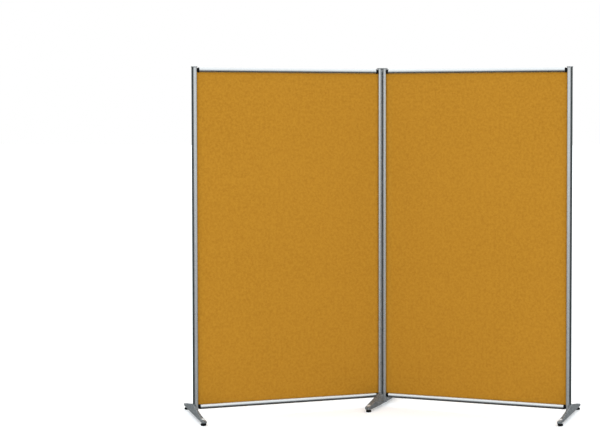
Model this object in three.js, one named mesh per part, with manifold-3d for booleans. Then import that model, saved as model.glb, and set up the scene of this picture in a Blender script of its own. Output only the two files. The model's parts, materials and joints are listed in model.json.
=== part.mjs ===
// A free-standing folding screen: two tall framed cloth panels joined by a vertical hinge,
// standing on three cast feet with levelling pads. Millimetres, +Z up.
// Each panel is drawn in its own frame: x runs outward from the hinge axis, y is across the
// panel and z is up. The two panels are alike, so one is the other turned about the hinge.

import * as THREE from 'three';
import { mergeVertices } from 'three/addons/utils/BufferGeometryUtils.js';
import Module from 'manifold-3d';

const wasm = await Module();
wasm.setup();

// ---------- driving dimensions ----------

const TOTAL_HEIGHT = 1800;
const PANEL_TURN = THREE.MathUtils.degToRad(19); // each panel, from the straight line
const GAP = 0.3; // between touching pieces

const HINGE_OFFSET = 3; // hinge axis to the face of each inner stile
const STILE_WIDTH = 21.5;
const STILE_DEPTH = 29;
const STILE_NOSE_RADIUS = 12; // corners away from the cloth
const STILE_LIP_RADIUS = 4; // corners beside the cloth
const OUTER_FACE = 1022; // hinge axis to the outer face of the outer stile

const RAIL_DIAMETER = 27;
const RAIL_BOTTOM = 40.2; // underside of the bottom rail
const RAIL_BORE_RADIUS = 5.5;
const RAIL_BORE_DROP = 4.75; // bore below the rail's centre, away from the groove
const CONNECTOR_LENGTH = 13;
const SPIGOT_LENGTH = 22;
const SPIGOT_RADIUS = 5.2;
const SPIGOT_ROOT = 2; // spigot inside the dome

const GROOVE_WIDTH = 5; // holds the cloth's edge
const GROOVE_DEPTH = 9;
const NOSE_SLOT_WIDTH = 6; // on the far side of a stile
const NOSE_SLOT_DEPTH = 5;

const CLOTH_THICKNESS = 2.4;
const CLOTH_TUCK = 3; // cloth inside the groove
const EDGE_STRIP_THICKNESS = 4;
const EDGE_STRIP_WIDTH = 5;

const CAP_THICKNESS = 5.2;
const CAP_OVERHANG = 2;
const CAP_BEVEL = 1.2;
const CAP_NOSE_RADIUS = 12;
const CAP_TONGUE_DEPTH = 12;
const CAP_TONGUE_LENGTH = 7;
const COVER_STRIP_PROUD = 4;
const COVER_STRIP_WIDTH = 14;

const SEAL_BEAD_RADIUS = 2.5;
const SEAL_WEB = 3;
const HINGE_PIN_RADIUS = 2;
const TOP_PIN_DEPTH = 10; // into the stiles, from their tops
const BOTTOM_PIN_RISE = 5; // above the left stile's bottom
const HINGE_PIN_TIP = 0.5; // taken off the radius at the pin's lower end
const HINGE_TONGUE_RADIUS = 8;
const TONGUE_THICKNESS = 2.4;
const TONGUE_HALF_WIDTH = 5; // where a tongue joins its plate
const TONGUE_CLEARANCE = 0.6;
const HINGE_SCREW_AT = 20; // from the hinge axis
const SCREW_SHANK_RADIUS = 2.2;
const SCREW_HEAD_RADIUS = 3.4;
const SCREW_SINK = 1.2; // depth of the countersunk head
const SCREW_FACE = 0.05; // the head's face below the plate's
const SCREW_KEY_RADIUS = 1.5;
const TOP_SCREW_LENGTH = 16;
const LOWER_SCREW_LENGTH = 12;
const LEFT_STILE_BOTTOM = 40;
const LOWER_PLATE_THICKNESS = 2.7;

const PAD_REACH = 210; // foot centre to each pad
const FOOT_BOTTOM = 14;
const FOOT_FLOOR = 20; // where a stile stands
const FOOT_RIDGE_HEIGHT = 68;
const FOOT_TIP_HEIGHT = 28;
const FOOT_TIP = 28; // pad centre to the end of the foot
const FOOT_TIP_UNDERCUT = 9; // the sole stops this far short of the end
const FOOT_TIP_EDGE = 22; // height of the undercut's upper edge
const FOOT_TIP_HALF_WIDTH = 12.6;
const FOOT_TIP_CORNER = 4;
const FOOT_WAIST = 26; // half the length of a foot's full-width middle
const FOOT_LOWER_BEVEL = 6;
const FOOT_OUTER_WALL = 8; // end foot's outer side, from the stile's outer face
const END_FOOT_INNER = 6; // end foot's inner side, from the stile's cloth side
const END_FOOT_CREST = 16; // half the length of a foot's level top
const END_FOOT_SHOULDER = 28; // height where the outer web's slope begins
const END_FOOT_SLOPE = 18; // from the outer side to that point
const CENTRE_FOOT_CREST = 50;
const CENTRE_FOOT_LEFT = -15; // its sides, from the hinge axis
const CENTRE_FOOT_RIGHT = 25;
const CENTRE_FOOT_SHOULDER = 28;
const CENTRE_RIDGE_HALF_WIDTH = 4.5;
const CENTRE_FOOT_RIDGE = -2; // its ridge and pads, from the hinge axis
const SHOE_MARGIN = 1; // round the stile that the centre foot carries
const SHOE_BOTTOM = 16.5;
const BOSS_RADIUS = 8.5;
const BOSS_TOP = 36;
const STUD_HOLE_TOP = 31;
const SWING_RADIUS = 29.5; // kept free for the left panel's inner stile
const SWING_SIDE = 5.5;
const HUB_RADIUS = 10;
const HUB_TOP = 36.7;

const PAD_RADIUS = 14.5;
const PAD_HEIGHT = 11.4;
const PAD_SOCKET = 3; // floor of the pad's stud socket
const STUD_RADIUS = 4;
const STUD_TOP = 29;
const COLLAR_RADIUS = 7.5;
const FOOT_BOLT_RADIUS = 2.2;
const FOOT_BOLT_TOP = 55;
const BOLT_HEAD_RADIUS = 4.6;
const BOLT_HEAD_HEIGHT = 2.8;
const BOLT_HEAD_INSET = 0.5;

// ---------- worked out from them ----------

const STILE_TOP = TOTAL_HEIGHT - CAP_THICKNESS - GAP;
const OUTER_STILE_AT = OUTER_FACE - STILE_WIDTH; // its cloth side
const INNER_LIP = HINGE_OFFSET + STILE_WIDTH;
const RAIL_RADIUS = RAIL_DIAMETER / 2;
const BOTTOM_RAIL_AXIS = RAIL_BOTTOM + RAIL_RADIUS;
const TOP_RAIL_AXIS = STILE_TOP - RAIL_RADIUS;
const OPENING_BOTTOM = BOTTOM_RAIL_AXIS + RAIL_RADIUS;
const OPENING_TOP = TOP_RAIL_AXIS - RAIL_RADIUS;
const END_FOOT_MIDDLE = (OUTER_STILE_AT + OUTER_FACE + FOOT_OUTER_WALL) / 2;
const FOOT_END = PAD_REACH + FOOT_TIP;
const FOOT_TOOL_TOP = FOOT_RIDGE_HEIGHT + 5; // above every foot

// ---------- shapes and solids ----------

/** A rectangle from x0 to x1 and y0 to y1 with its own corner radius at each end of x. */
function roundedBox(x0, x1, y0, y1, r0, r1) {
  const quarter = Math.PI / 2;
  const shape = new THREE.Shape();
  shape.moveTo(x0 + r0, y0);
  shape.lineTo(x1 - r1, y0);
  shape.absarc(x1 - r1, y0 + r1, r1, -quarter, 0);
  shape.lineTo(x1, y1 - r1);
  shape.absarc(x1 - r1, y1 - r1, r1, 0, quarter);
  shape.lineTo(x0 + r0, y1);
  shape.absarc(x0 + r0, y1 - r0, r0, quarter, 2 * quarter);
  shape.lineTo(x0, y0 + r0);
  shape.absarc(x0 + r0, y0 + r0, r0, 2 * quarter, 3 * quarter);
  return shape;
}

function polygon(...points) {
  return new THREE.Shape(points.map(([x, y]) => new THREE.Vector2(x, y)));
}

/** A shape drawn in x and y, extruded from z0 to z1. */
function alongZ(shape, z0, z1, curveSegments = 3) {
  const options = { depth: z1 - z0, bevelEnabled: false, curveSegments };
  return new THREE.ExtrudeGeometry(shape, options).translate(0, 0, z0);
}

/** A shape drawn in y and z, extruded from x0 to x1. */
function alongX(shape, x0, x1, curveSegments = 3) {
  const turn = new THREE.Matrix4().makeBasis(
    new THREE.Vector3(0, 1, 0),
    new THREE.Vector3(0, 0, 1),
    new THREE.Vector3(1, 0, 0),
  );
  return alongZ(shape, 0, x1 - x0, curveSegments).applyMatrix4(turn).translate(x0, 0, 0);
}

/** A shape drawn in x and z, extruded from y0 to y1. */
function alongY(shape, y0, y1) {
  return alongZ(shape, 0, y1 - y0).rotateX(Math.PI / 2).translate(0, y1, 0);
}

function block(x0, x1, y0, y1, z0, z1) {
  const box = new THREE.BoxGeometry(x1 - x0, y1 - y0, z1 - z0);
  return box.translate((x0 + x1) / 2, (y0 + y1) / 2, (z0 + z1) / 2);
}

/** A body of revolution about z; the profile's points are [radius, z], from bottom to top. */
function turned(profile, segments = 16) {
  const points = profile.map(([r, z]) => new THREE.Vector2(r, z));
  return new THREE.LatheGeometry(points, segments).rotateX(Math.PI / 2);
}

function rod(radius, z0, z1, x = 0, y = 0, segments = 12) {
  const cylinder = new THREE.CylinderGeometry(radius, radius, z1 - z0, segments);
  return cylinder.rotateX(Math.PI / 2).translate(x, y, (z0 + z1) / 2);
}

function solid(geometry) {
  const bare = geometry.clone();
  bare.deleteAttribute('normal');
  bare.deleteAttribute('uv');
  const merged = mergeVertices(bare, 1e-4);
  return new wasm.Manifold(new wasm.Mesh({
    numProp: 3,
    vertProperties: new Float32Array(merged.attributes.position.array),
    triVerts: new Uint32Array(merged.index.array),
  }));
}

const join = (...parts) => parts.map((part) => solid(part)).reduce((sum, part) => sum.add(part));
const cut = (body, ...tools) => tools.reduce((left, tool) => left.subtract(solid(tool)), body);
const common = (...parts) => parts.map((part) => solid(part)).reduce((a, b) => a.intersect(b));

function geometryOf(body) {
  const { vertProperties, triVerts } = body.getMesh();
  const geometry = new THREE.BufferGeometry();
  geometry.setAttribute('position', new THREE.BufferAttribute(vertProperties, 3));
  geometry.setIndex(new THREE.BufferAttribute(triVerts, 1));
  geometry.computeVertexNormals();
  return geometry;
}

// ---------- materials ----------

const FINISHES = {
  aluminium: { color: 0xb9bfc2, roughness: 0.35, metalness: 1 },
  casting: { color: 0x7f8283, roughness: 0.6, metalness: 0.6 },
  plastic: { color: 0x16181a, roughness: 0.45, metalness: 0 },
  cap: { color: 0x8f9598, roughness: 0.4, metalness: 1 },
  strip: { color: 0x2f3a39, roughness: 0.45, metalness: 0 },
  rubber: { color: 0x0c0c0c, roughness: 0.8, metalness: 0 },
  silicone: { color: 0x2a2a2a, roughness: 0.7, metalness: 0 },
  steel: { color: 0xc8cccf, roughness: 0.3, metalness: 1 },
  cloth: { color: 0xb67f26, roughness: 0.95, metalness: 0 },
};

function piece(group, name, body, finish) {
  const geometry = body.isBufferGeometry ? body : geometryOf(body);
  const mesh = new THREE.Mesh(geometry, new THREE.MeshStandardMaterial(FINISHES[finish]));
  mesh.name = name;
  group.add(mesh);
  return mesh;
}

// ---------- frame profiles ----------

/** A stile with its nose at x = 0 and its cloth groove opening at x = STILE_WIDTH. */
function stile(bottom) {
  const half = STILE_DEPTH / 2;
  const outline = roundedBox(0, STILE_WIDTH, -half, half, STILE_NOSE_RADIUS, STILE_LIP_RADIUS);
  const slot = NOSE_SLOT_WIDTH / 2;
  const groove = GROOVE_WIDTH / 2;
  return cut(
    solid(alongZ(outline, bottom, STILE_TOP)),
    block(-1, NOSE_SLOT_DEPTH, -slot, slot, bottom - 1, STILE_TOP + 1),
    block(STILE_WIDTH - GROOVE_DEPTH, STILE_WIDTH + 1, -groove, groove, bottom - 1, STILE_TOP + 1),
  );
}

/** A round rail on the x axis with its groove facing up and its bore below. */
function rail(x0, x1) {
  const section = new THREE.Shape();
  section.absarc(0, 0, RAIL_RADIUS, 0, 2 * Math.PI);
  const bore = new THREE.Path();
  bore.absarc(0, -RAIL_BORE_DROP, RAIL_BORE_RADIUS, 0, 2 * Math.PI);
  section.holes.push(bore);
  const groove = GROOVE_WIDTH / 2;
  return cut(
    solid(alongX(section, x0, x1, 12)),
    block(x0 - 1, x1 + 1, -groove, groove, RAIL_RADIUS - GROOVE_DEPTH, RAIL_RADIUS + 1),
  );
}

/** The domed fitting between a stile's face at x = 0 and a rail's end, groove facing up. */
function connector() {
  const end = CONNECTOR_LENGTH - GAP;
  const dome = turned([
    [0, GAP], [7, GAP], [9.9, 2.4], [12, 5.4], [13.2, 9.6], [13.2, end], [0, end],
  ], 20);
  const spigot = rod(SPIGOT_RADIUS, end - SPIGOT_ROOT, end + SPIGOT_LENGTH, RAIL_BORE_DROP);
  const groove = GROOVE_WIDTH / 2;
  const body = join(dome.rotateY(Math.PI / 2), spigot.rotateY(Math.PI / 2));
  const slot = block(-1, CONNECTOR_LENGTH, -groove, groove, RAIL_RADIUS - GROOVE_DEPTH, RAIL_DIAMETER);
  return cut(body, slot);
}

/** The outline of a cap or plate on a stile's end, drawn from the stile's nose at x = 0. */
function endOutline(x0, noseRadius) {
  const half = STILE_DEPTH / 2 + CAP_OVERHANG;
  return roundedBox(x0, STILE_WIDTH + CAP_OVERHANG, -half, half, noseRadius, STILE_LIP_RADIUS + 1);
}

function endCap() {
  const bottom = STILE_TOP + GAP;
  const half = STILE_DEPTH / 2 + CAP_OVERHANG - CAP_BEVEL;
  const x0 = -COVER_STRIP_PROUD - CAP_OVERHANG + CAP_BEVEL;
  const x1 = STILE_WIDTH + CAP_OVERHANG - CAP_BEVEL;
  const outline = roundedBox(x0, x1, -half, half, CAP_NOSE_RADIUS, STILE_LIP_RADIUS);
  const top = new THREE.ExtrudeGeometry(outline, {
    depth: CAP_THICKNESS - 2 * CAP_BEVEL,
    bevelThickness: CAP_BEVEL,
    bevelSize: CAP_BEVEL,
    bevelSegments: 1,
    curveSegments: 3,
  }).translate(0, 0, bottom + CAP_BEVEL);
  const tongue = GROOVE_WIDTH / 2 - GAP;
  const end = STILE_WIDTH - 1;
  const below = bottom - CAP_TONGUE_DEPTH;
  return join(top, block(end - CAP_TONGUE_LENGTH, end, -tongue, tongue, below, bottom + CAP_BEVEL));
}

/** The strip that closes the slot on the outer side of an outer stile. */
function coverStrip(bottom) {
  const half = COVER_STRIP_WIDTH / 2;
  const tongue = NOSE_SLOT_WIDTH / 2 - GAP;
  const bead = roundedBox(-COVER_STRIP_PROUD, -GAP, -half, half, 2.4, 0.6);
  return join(
    alongZ(bead, bottom, STILE_TOP, 2),
    block(-1, NOSE_SLOT_DEPTH - GAP, -tongue, tongue, bottom, STILE_TOP),
  );
}

// ---------- one panel ----------

const ENDS = [
  { end: 'inner', at: INNER_LIP, facing: 0 },
  { end: 'outer', at: OUTER_STILE_AT, facing: Math.PI },
];
const LEVELS = [
  { level: 'bottom', axis: BOTTOM_RAIL_AXIS, roll: 0 },
  { level: 'top', axis: TOP_RAIL_AXIS, roll: Math.PI },
];

function addRails(group, side) {
  for (const { level, axis, roll } of LEVELS) {
    const bar = piece(group, `${side}_${level}_rail`,
      rail(INNER_LIP + CONNECTOR_LENGTH, OUTER_STILE_AT - CONNECTOR_LENGTH), 'aluminium');
    bar.position.z = axis;
    bar.rotation.x = roll;
    for (const { end, at, facing } of ENDS) {
      const fitting = piece(group, `${side}_${level}_${end}_connector`, connector(), 'plastic');
      fitting.position.set(at, 0, axis);
      fitting.rotation.set(roll, 0, facing, 'ZXY');
    }
  }
}

/** The cloth and the flexible strips sewn to its edges, which sit deep in the grooves. */
function addCloth(group, side) {
  const half = CLOTH_THICKNESS / 2;
  piece(group, `${side}_cloth`, block(INNER_LIP - CLOTH_TUCK, OUTER_STILE_AT + CLOTH_TUCK,
    -half, half, OPENING_BOTTOM - CLOTH_TUCK, OPENING_TOP + CLOTH_TUCK), 'cloth');
  const strip = EDGE_STRIP_THICKNESS / 2;
  const near = CLOTH_TUCK + GAP;
  const far = near + EDGE_STRIP_WIDTH;
  const upright = (x0, x1) => block(x0, x1, -strip, strip, OPENING_BOTTOM - far, OPENING_TOP + far);
  const level = (z0, z1) => block(INNER_LIP + GAP, OUTER_STILE_AT - GAP, -strip, strip, z0, z1);
  piece(group, `${side}_inner_edge_strip`, upright(INNER_LIP - far, INNER_LIP - near), 'silicone');
  piece(group, `${side}_outer_edge_strip`,
    upright(OUTER_STILE_AT + near, OUTER_STILE_AT + far), 'silicone');
  piece(group, `${side}_bottom_edge_strip`,
    level(OPENING_BOTTOM - far, OPENING_BOTTOM - near), 'silicone');
  piece(group, `${side}_top_edge_strip`, level(OPENING_TOP + near, OPENING_TOP + far), 'silicone');
}

/** The outer stile, with its nose turned away from the hinge, its cap and its cover strip. */
function addOuterStile(group, side) {
  const parts = {
    outer_stile: [stile(FOOT_FLOOR), 'aluminium'],
    outer_cap: [endCap(), 'cap'],
    cover_strip: [coverStrip(FOOT_RIDGE_HEIGHT + 2 * GAP), 'strip'],
  };
  for (const [name, [body, finish]] of Object.entries(parts)) {
    const mesh = piece(group, `${side}_${name}`, body, finish);
    mesh.position.x = OUTER_FACE;
    mesh.rotation.z = Math.PI;
  }
}

// ---------- feet ----------

/** Side view of a foot, drawn in y and z: flat sole, undercut tips, highest in the middle. */
function footSide(crest) {
  const sole = FOOT_END - FOOT_TIP_UNDERCUT;
  return polygon(
    [-sole, FOOT_BOTTOM], [sole, FOOT_BOTTOM], [FOOT_END, FOOT_TIP_EDGE], [FOOT_END, FOOT_TIP_HEIGHT],
    [crest, FOOT_RIDGE_HEIGHT], [-crest, FOOT_RIDGE_HEIGHT],
    [-FOOT_END, FOOT_TIP_HEIGHT], [-FOOT_END, FOOT_TIP_EDGE],
  );
}

/** Plan view of a foot: full width from x0 to x1 at its waist, its two tips about x = middle. */
function footPlan(x0, x1, middle) {
  const side = FOOT_TIP_HALF_WIDTH;
  const face = FOOT_TIP_HALF_WIDTH - FOOT_TIP_CORNER;
  const corner = FOOT_END - FOOT_TIP_CORNER;
  const tip = (sign) => [
    [middle + sign * side, sign * corner], [middle + sign * face, sign * FOOT_END],
    [middle - sign * face, sign * FOOT_END], [middle - sign * side, sign * corner],
  ];
  return polygon(
    [x1, -FOOT_WAIST], [x1, FOOT_WAIST], ...tip(1),
    [x0, FOOT_WAIST], [x0, -FOOT_WAIST], ...tip(-1),
  );
}

/** The body of a foot between x0 and x1: its side view, its plan and its end view, in common. */
function footBody(x0, x1, middle, crest, section) {
  return common(
    alongX(footSide(crest), x0 - 1, x1 + 1),
    alongZ(footPlan(x0, x1, middle), 0, FOOT_TOOL_TOP),
    alongY(section, -FOOT_END - 1, FOOT_END + 1),
  );
}

function boss(x, y) {
  const dome = turned([
    [0, FOOT_BOTTOM], [BOSS_RADIUS, FOOT_BOTTOM], [BOSS_RADIUS, BOSS_TOP - 9],
    [7.8, BOSS_TOP - 5.5], [6, BOSS_TOP - 2.6], [3.2, BOSS_TOP - 0.7], [0, BOSS_TOP],
  ], 20);
  return dome.translate(x, y, 0);
}

/** Adds the two tip bosses to a foot and drills their stud holes. */
function withBosses(body, x) {
  let made = body;
  for (const y of [-PAD_REACH, PAD_REACH]) {
    made = made.add(solid(boss(x, y)));
    made = cut(made, rod(STUD_RADIUS + GAP, FOOT_BOTTOM - 1, STUD_HOLE_TOP, x, y));
  }
  return made;
}

/** The hole for the bolt that comes up through a foot's floor into a stile's groove. */
function boltHole(x) {
  const headTop = FOOT_BOTTOM + BOLT_HEAD_INSET + BOLT_HEAD_HEIGHT + GAP;
  return [
    rod(FOOT_BOLT_RADIUS + GAP, FOOT_BOTTOM - 1, FOOT_FLOOR + 1, x, 0),
    rod(BOLT_HEAD_RADIUS + GAP, FOOT_BOTTOM - 1, headTop, x, 0),
  ];
}

/** A foot under an outer stile: a tall web outside, sloping down to a low inner side. */
function endFoot() {
  const inner = OUTER_STILE_AT - END_FOOT_INNER;
  const outer = OUTER_FACE + FOOT_OUTER_WALL;
  const low = FOOT_BOTTOM;
  const high = FOOT_RIDGE_HEIGHT + 2;
  const section = polygon([inner, low], [outer - FOOT_LOWER_BEVEL, low], [outer, low + FOOT_LOWER_BEVEL],
    [outer, high], [outer - FOOT_OUTER_WALL, high], [outer - END_FOOT_SLOPE, END_FOOT_SHOULDER],
    [inner, FOOT_FLOOR + 1]);
  const half = STILE_DEPTH / 2 + GAP;
  const pocket = roundedBox(OUTER_STILE_AT - GAP - STILE_LIP_RADIUS, OUTER_FACE + GAP, -half, half,
    GAP, STILE_NOSE_RADIUS);
  const drilled = cut(footBody(inner, outer, END_FOOT_MIDDLE, END_FOOT_CREST, section),
    alongZ(pocket, FOOT_FLOOR - GAP, FOOT_TOOL_TOP),
    ...boltHole(footBoltAt('outer')));
  return withBosses(drilled, END_FOOT_MIDDLE);
}

/** The foot at the hinge: it carries the right panel's inner stile and the lower hinge pin. */
function centreFoot() {
  const x0 = CENTRE_FOOT_LEFT;
  const x1 = CENTRE_FOOT_RIGHT;
  const ridge = CENTRE_FOOT_RIDGE;
  const low = FOOT_BOTTOM;
  const high = FOOT_RIDGE_HEIGHT + 2;
  const section = polygon([x0 + FOOT_LOWER_BEVEL, low], [x1 - FOOT_LOWER_BEVEL, low],
    [x1, low + FOOT_LOWER_BEVEL], [x1, CENTRE_FOOT_SHOULDER],
    [ridge + CENTRE_RIDGE_HALF_WIDTH, high], [ridge - CENTRE_RIDGE_HALF_WIDTH, high],
    [x0, CENTRE_FOOT_SHOULDER], [x0, low + FOOT_LOWER_BEVEL]);
  const swing = common(
    rod(SWING_RADIUS, HUB_TOP, FOOT_TOOL_TOP, 0, 0, 32),
    block(-SWING_RADIUS, SWING_SIDE, -SWING_RADIUS, SWING_RADIUS, HUB_TOP, FOOT_TOOL_TOP),
  );
  const half = STILE_DEPTH / 2;
  const holder = half + SHOE_MARGIN;
  const shoe = roundedBox(0, INNER_LIP + SHOE_MARGIN, -holder, holder, 2, STILE_LIP_RADIUS + SHOE_MARGIN);
  const pocketFrom = (x) => roundedBox(x, INNER_LIP + GAP, -half - GAP, half + GAP, 0.5, STILE_LIP_RADIUS);
  const body = footBody(x0, x1, ridge, CENTRE_FOOT_CREST, section)
    .subtract(swing)
    .add(solid(alongZ(shoe, SHOE_BOTTOM, FOOT_FLOOR - GAP)))
    .add(solid(rod(HUB_RADIUS, FOOT_BOTTOM, HUB_TOP, 0, 0, 20)));
  const drilled = cut(body,
    alongZ(pocketFrom(HUB_RADIUS + GAP), FOOT_FLOOR - GAP, FOOT_TOOL_TOP),
    alongZ(pocketFrom(-4), HUB_TOP, FOOT_TOOL_TOP),
    rod(HINGE_PIN_RADIUS + GAP, FOOT_FLOOR, HUB_TOP + 1),
    ...boltHole(footBoltAt('inner')));
  return withBosses(drilled, CENTRE_FOOT_RIDGE);
}

/** Where a foot's bolt stands: in the cloth groove of the stile that the foot carries. */
function footBoltAt(end) {
  const inset = GROOVE_DEPTH / 2;
  return end === 'inner' ? INNER_LIP - inset : OUTER_STILE_AT + inset;
}

function footBolt() {
  const head = FOOT_BOTTOM + BOLT_HEAD_INSET;
  const neck = head + BOLT_HEAD_HEIGHT;
  return turned([
    [0, head], [BOLT_HEAD_RADIUS, head], [BOLT_HEAD_RADIUS, neck],
    [FOOT_BOLT_RADIUS, neck], [FOOT_BOLT_RADIUS, FOOT_BOLT_TOP - 1], [1.4, FOOT_BOLT_TOP], [0, FOOT_BOLT_TOP],
  ]);
}

/** A foot, its bolt, and a levelling pad and stud under each tip; front is the sign of its y. */
function addFoot(group, name, body, middle, boltAt, front) {
  piece(group, `${name}_foot`, body, 'casting');
  piece(group, `${name}_foot_bolt`, footBolt(), 'steel').position.x = boltAt;
  for (const [end, sign] of [['front', front], ['back', -front]]) {
    const pad = piece(group, `${name}_${end}_pad`, levellingPad(), 'rubber');
    const stud = piece(group, `${name}_${end}_stud`, levellingStud(), 'steel');
    pad.position.set(middle, sign * PAD_REACH, 0);
    stud.position.set(middle, sign * PAD_REACH, 0);
  }
}

/** A rubber pad with a rounded lower edge and a socket for the stud. */
function levellingPad() {
  return turned([
    [0, 0], [11.2, 0], [13.4, 1.5], [PAD_RADIUS, 4.6], [PAD_RADIUS, 7], [12.9, 10], [10.5, PAD_HEIGHT],
    [STUD_RADIUS + GAP, PAD_HEIGHT], [STUD_RADIUS + GAP, PAD_SOCKET], [0, PAD_SOCKET],
  ], 20);
}

/** The stud has a hexagonal collar on top of the pad and runs up into the foot's boss. */
function levellingStud() {
  const shank = rod(STUD_RADIUS, PAD_SOCKET + GAP, STUD_TOP);
  const collar = rod(COLLAR_RADIUS, PAD_HEIGHT + GAP, FOOT_BOTTOM - GAP, 0, 0, 6);
  return join(shank, collar);
}

// ---------- hinge ----------

/** A top plate on an inner stile, with a tongue about the hinge axis from z0 to z0 + its thickness. */
function topPlate(tongueBottom) {
  const bottom = STILE_TOP + GAP;
  const outline = endOutline(0.6, 13);
  const body = cut(
    solid(alongZ(outline, bottom, TOTAL_HEIGHT).translate(HINGE_OFFSET, 0, 0)),
    rod(HINGE_TONGUE_RADIUS + TONGUE_CLEARANCE, bottom - 1, TOTAL_HEIGHT + 1, 0, 0, 24),
  );
  const tongueTop = tongueBottom + TONGUE_THICKNESS;
  const tongue = join(
    rod(HINGE_TONGUE_RADIUS, tongueBottom, tongueTop, 0, 0, 24),
    block(0, HINGE_TONGUE_RADIUS + 4, -TONGUE_HALF_WIDTH, TONGUE_HALF_WIDTH, tongueBottom, tongueTop),
  );
  return cut(body.add(tongue),
    rod(HINGE_PIN_RADIUS + GAP, bottom - 1, TOTAL_HEIGHT + 1),
    ...screwHole(TOTAL_HEIGHT, 1));
}

/** The clearance of a countersunk screw whose head is flush with face, towards +z or -z. */
function screwHole(face, side) {
  const shank = SCREW_SHANK_RADIUS + GAP;
  const head = SCREW_HEAD_RADIUS + GAP + SCREW_FACE * 2;
  const cone = turned([
    [0, -SCREW_SINK * 2], [shank, -SCREW_SINK * 2], [shank, -SCREW_SINK],
    [head, -SCREW_FACE * 2], [head, 1], [0, 1],
  ]);
  if (side < 0) cone.rotateX(Math.PI);
  const reach = CAP_THICKNESS + 2;
  return [
    cone.translate(HINGE_SCREW_AT, 0, face),
    rod(shank, face - reach, face + reach, HINGE_SCREW_AT, 0),
  ];
}

/** A countersunk screw with its head up, its face at z = 0 and a recess for the key. */
function screw(length) {
  const shank = SCREW_SHANK_RADIUS;
  const body = solid(turned([
    [0, -length], [shank - 0.8, -length], [shank, -length + 1], [shank, -SCREW_SINK],
    [SCREW_HEAD_RADIUS, -0.2], [SCREW_HEAD_RADIUS, -SCREW_FACE], [0, -SCREW_FACE],
  ], 14));
  return cut(body, rod(SCREW_KEY_RADIUS, -SCREW_SINK - 0.4, 1, 0, 0, 6));
}

function lowerPlate() {
  const bottom = LEFT_STILE_BOTTOM - GAP - LOWER_PLATE_THICKNESS;
  const top = LEFT_STILE_BOTTOM - GAP;
  const half = STILE_DEPTH / 2;
  const outline = roundedBox(HINGE_OFFSET, INNER_LIP, -half, half, STILE_NOSE_RADIUS, STILE_LIP_RADIUS);
  const body = join(
    alongZ(outline, bottom, top),
    rod(HINGE_TONGUE_RADIUS, bottom, top, 0, 0, 24),
  );
  return cut(body, rod(HINGE_PIN_RADIUS + GAP, bottom - 1, top + 1), ...screwHole(bottom, -1));
}

/** A hinge pin from z0 to z1, with its lower end tapered. */
function hingePin(z0, z1) {
  return turned([
    [0, z0], [HINGE_PIN_RADIUS - HINGE_PIN_TIP, z0], [HINGE_PIN_RADIUS, z0 + HINGE_PIN_TIP],
    [HINGE_PIN_RADIUS, z1], [0, z1],
  ]);
}

/** The strip that closes the gap between the inner stiles: a bead about the hinge axis. */
function hingeSeal(z0, z1) {
  const tongue = NOSE_SLOT_WIDTH / 2 - GAP;
  return join(
    rod(SEAL_BEAD_RADIUS, z0, z1),
    block(0, HINGE_OFFSET + NOSE_SLOT_DEPTH - GAP, -SEAL_WEB / 2, SEAL_WEB / 2, z0, z1),
    block(HINGE_OFFSET + GAP, HINGE_OFFSET + NOSE_SLOT_DEPTH - GAP, -tongue, tongue, z0, z1),
  );
}

// ---------- assembly ----------

const screen = new THREE.Group();
const rightPanel = new THREE.Group();
const leftPanel = new THREE.Group();
rightPanel.rotation.z = -PANEL_TURN;
leftPanel.rotation.z = Math.PI + PANEL_TURN;
screen.add(rightPanel, leftPanel);

// The front of the screen is at negative y of the right panel and positive y of the left one.
for (const [group, side, front] of [[rightPanel, 'right', -1], [leftPanel, 'left', 1]]) {
  addRails(group, side);
  addCloth(group, side);
  addOuterStile(group, side);
  addFoot(group, side, endFoot(), END_FOOT_MIDDLE, footBoltAt('outer'), front);
}

// The right inner stile stands in the centre foot, with its nose cut back round the hub.
const notch = block(-1, HUB_RADIUS + 1 - HINGE_OFFSET, -20, 20, FOOT_FLOOR - 1, LEFT_STILE_BOTTOM + 2);
const rightInnerStile = cut(stile(FOOT_FLOOR), notch);
piece(rightPanel, 'right_inner_stile', rightInnerStile, 'aluminium').position.x = HINGE_OFFSET;
piece(leftPanel, 'left_inner_stile', stile(LEFT_STILE_BOTTOM), 'aluminium').position.x = HINGE_OFFSET;
addFoot(rightPanel, 'centre', centreFoot(), CENTRE_FOOT_RIDGE, footBoltAt('inner'), -1);

const lowerTongue = STILE_TOP + GAP;
const upperTongue = TOTAL_HEIGHT - TONGUE_THICKNESS;
piece(rightPanel, 'right_top_hinge_plate', topPlate(lowerTongue), 'cap');
piece(leftPanel, 'left_top_hinge_plate', topPlate(upperTongue), 'cap');
piece(leftPanel, 'left_bottom_hinge_plate', lowerPlate(), 'cap');
piece(rightPanel, 'top_hinge_pin', hingePin(STILE_TOP - TOP_PIN_DEPTH, STILE_TOP + 3), 'steel');
piece(rightPanel, 'bottom_hinge_pin',
  hingePin(FOOT_FLOOR + GAP, LEFT_STILE_BOTTOM + BOTTOM_PIN_RISE), 'steel');
piece(rightPanel, 'hinge_seal',
  hingeSeal(LEFT_STILE_BOTTOM + BOTTOM_PIN_RISE + 1, STILE_TOP - TOP_PIN_DEPTH - 1), 'silicone');

for (const [group, side] of [[rightPanel, 'right'], [leftPanel, 'left']]) {
  const fastener = piece(group, `${side}_top_hinge_screw`, screw(TOP_SCREW_LENGTH), 'steel');
  fastener.position.set(HINGE_SCREW_AT, 0, TOTAL_HEIGHT);
}
const lowerScrew = piece(leftPanel, 'left_bottom_hinge_screw', screw(LOWER_SCREW_LENGTH), 'steel');
lowerScrew.position.set(HINGE_SCREW_AT, 0, LEFT_STILE_BOTTOM - GAP - LOWER_PLATE_THICKNESS);
lowerScrew.rotation.x = Math.PI;

// The origin is on the floor under the middle of the screen's footprint.
const centre = new THREE.Box3().setFromObject(screen, true).getCenter(new THREE.Vector3());
screen.position.set(-centre.x, -centre.y, 0);

export default screen;
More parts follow.
